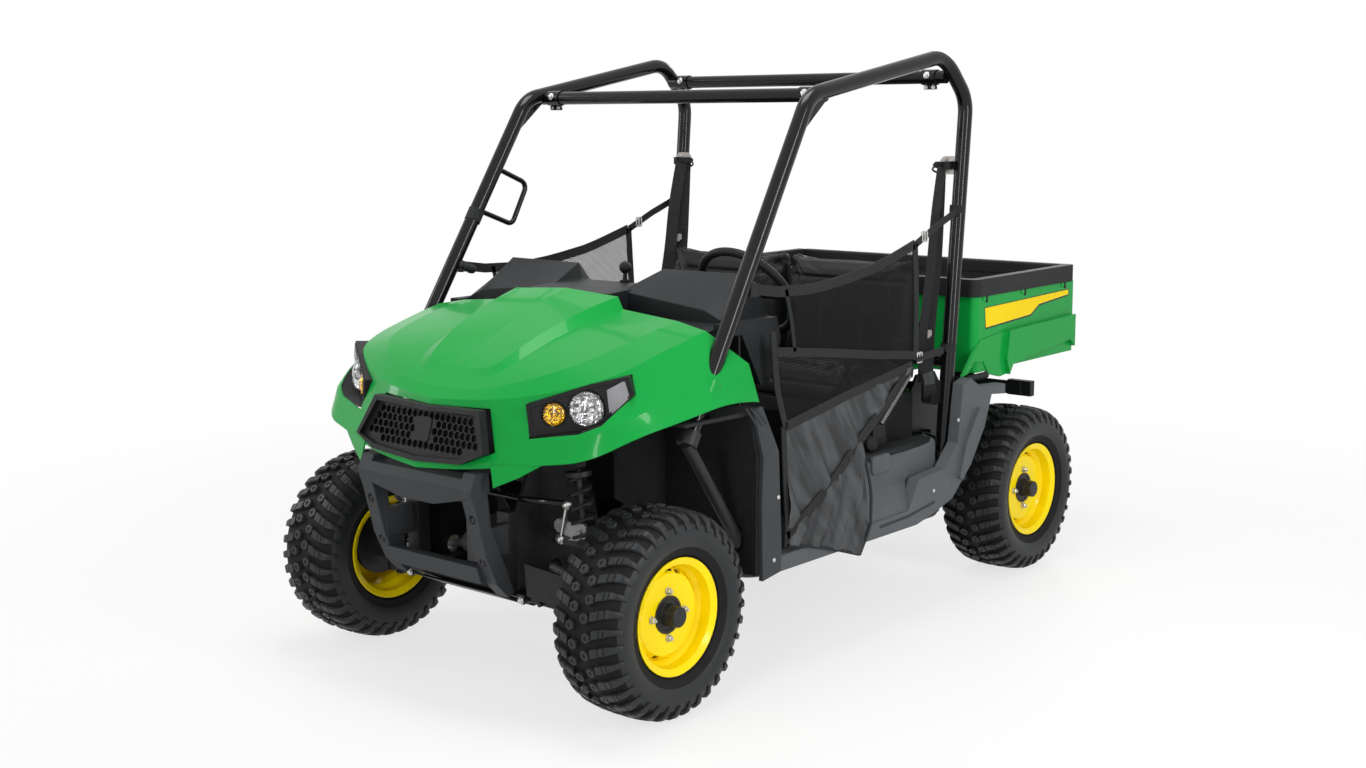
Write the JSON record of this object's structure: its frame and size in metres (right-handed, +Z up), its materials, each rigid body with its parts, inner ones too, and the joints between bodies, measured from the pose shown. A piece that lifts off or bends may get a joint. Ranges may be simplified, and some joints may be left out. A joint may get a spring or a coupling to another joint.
{
  "type": "side by side utility vehicle",
  "caption": "Open utility vehicle with bench cab, roll-over frame, side nets, steered front wheels, independent suspension and a tilting cargo bed with a drop tailgate.",
  "frame": {"origin": "on the ground under the middle of the whole length and width", "axes": "+X the vehicle's left, -Y its front, +Z up"},
  "size_m": [1.47, 2.776, 1.8814],
  "materials": {
    "tyre": "moulded tread rubber",
    "wheel_yellow": "gloss deep yellow paint on pressed steel",
    "chassis_black": "satin black powder coat",
    "body_green": "gloss green moulded in colour",
    "grille_black": "black moulded honeycomb",
    "lamp": "black housing with clear and amber lenses",
    "bumper_grey": "grained dark grey moulding",
    "interior_black": "grained black moulding",
    "liner_black": "matt black moulding",
    "seat_vinyl": "black vinyl over foam",
    "tube_black": "gloss black painted steel tube",
    "webbing": "black woven webbing",
    "net_fabric": "black mesh and nylon",
    "engine_metal": "dull grey casting",
    "muffler_steel": "dull steel",
    "shock_black": "black coil over damper",
    "rod_zinc": "zinc plated",
    "tail_red": "red lens"
  },
  "bodies": {
    "chassis": {"front_arms": "chassis_black", "frame": "chassis_black", "front_body": "body_green", "grille": "grille_black", "headlamps": "lamp", "front_bumper": "bumper_grey", "skid_pan": "chassis_black", "dash": "interior_black", "arch_liners": "liner_black", "side_pillars": "bumper_grey", "floor": "interior_black", "seat_base": "interior_black", "side_panels": "bumper_grey", "seat_left": "seat_vinyl", "seat_right": "seat_vinyl", "rops_left": "tube_black", "rops_right": "tube_black", "rops_cross": "tube_black", "grab_handle": "tube_black", "belts": "webbing", "net_left": "net_fabric", "net_right": "net_fabric", "steering_column": "interior_black", "gear_lever": "interior_black", "drive_train": "engine_metal", "muffler": "muffler_steel", "front_shocks": "shock_black", "rear_arms": "chassis_black", "rear_shocks": "shock_black", "steering_rack": "rod_zinc", "tail_lamps": "tail_red"},
    "left_knuckle": {"knuckle_left": "chassis_black"},
    "right_knuckle": {"knuckle_right": "chassis_black"},
    "front_left_wheel": {"tyre_front_left": "tyre", "wheel_front_left": "wheel_yellow"},
    "front_right_wheel": {"tyre_front_right": "tyre", "wheel_front_right": "wheel_yellow"},
    "rear_left_wheel": {"tyre_rear_left": "tyre", "wheel_rear_left": "wheel_yellow"},
    "rear_right_wheel": {"tyre_rear_right": "tyre", "wheel_rear_right": "wheel_yellow"},
    "steering_wheel": {"steering_wheel": "interior_black"},
    "bed": {"bed": "body_green", "bed_liner": "liner_black"},
    "tailgate": {"tailgate": "body_green"}
  },
  "joints": [
    {"name": "steer_left", "type": "hinge", "parent": "chassis", "child": "left_knuckle", "pos_m": [0.515, -1.046, 0.303], "axis": [0, 0, 1], "range_deg": [-25, 25]},
    {"name": "steer_right", "type": "hinge", "parent": "chassis", "child": "right_knuckle", "pos_m": [-0.515, -1.046, 0.303], "axis": [0, 0, 1], "range_deg": [-25, 25]},
    {"name": "steering_wheel_turn", "type": "hinge", "parent": "chassis", "child": "steering_wheel", "pos_m": [0.33, -0.254, 1.118], "axis": [0, 0.809, 0.5878], "range_deg": [-270, 270]},
    {"name": "front_left_spin", "type": "hinge", "parent": "left_knuckle", "child": "front_left_wheel", "pos_m": [0.612, -1.046, 0.303], "axis": [1, 0, 0], "continuous": true},
    {"name": "front_right_spin", "type": "hinge", "parent": "right_knuckle", "child": "front_right_wheel", "pos_m": [-0.612, -1.046, 0.303], "axis": [1, 0, 0], "continuous": true},
    {"name": "rear_left_spin", "type": "hinge", "parent": "chassis", "child": "rear_left_wheel", "pos_m": [0.598, 0.961, 0.303], "axis": [1, 0, 0], "continuous": true},
    {"name": "rear_right_spin", "type": "hinge", "parent": "chassis", "child": "rear_right_wheel", "pos_m": [-0.598, 0.961, 0.303], "axis": [1, 0, 0], "continuous": true},
    {"name": "bed_tilt", "type": "hinge", "parent": "chassis", "child": "bed", "pos_m": [0, 1.204, 0.735], "axis": [-1, 0, 0], "range_deg": [0, 45]},
    {"name": "tailgate_drop", "type": "hinge", "parent": "bed", "child": "tailgate", "pos_m": [0, 1.35, 0.793], "axis": [-1, 0, 0], "range_deg": [0, 90]}
  ],
  "couplings": [
    {"joint": "steer_right", "follows": "steer_left", "ratio": 1},
    {"joint": "steering_wheel_turn", "follows": "steer_left", "ratio": 10.8}
  ]
}
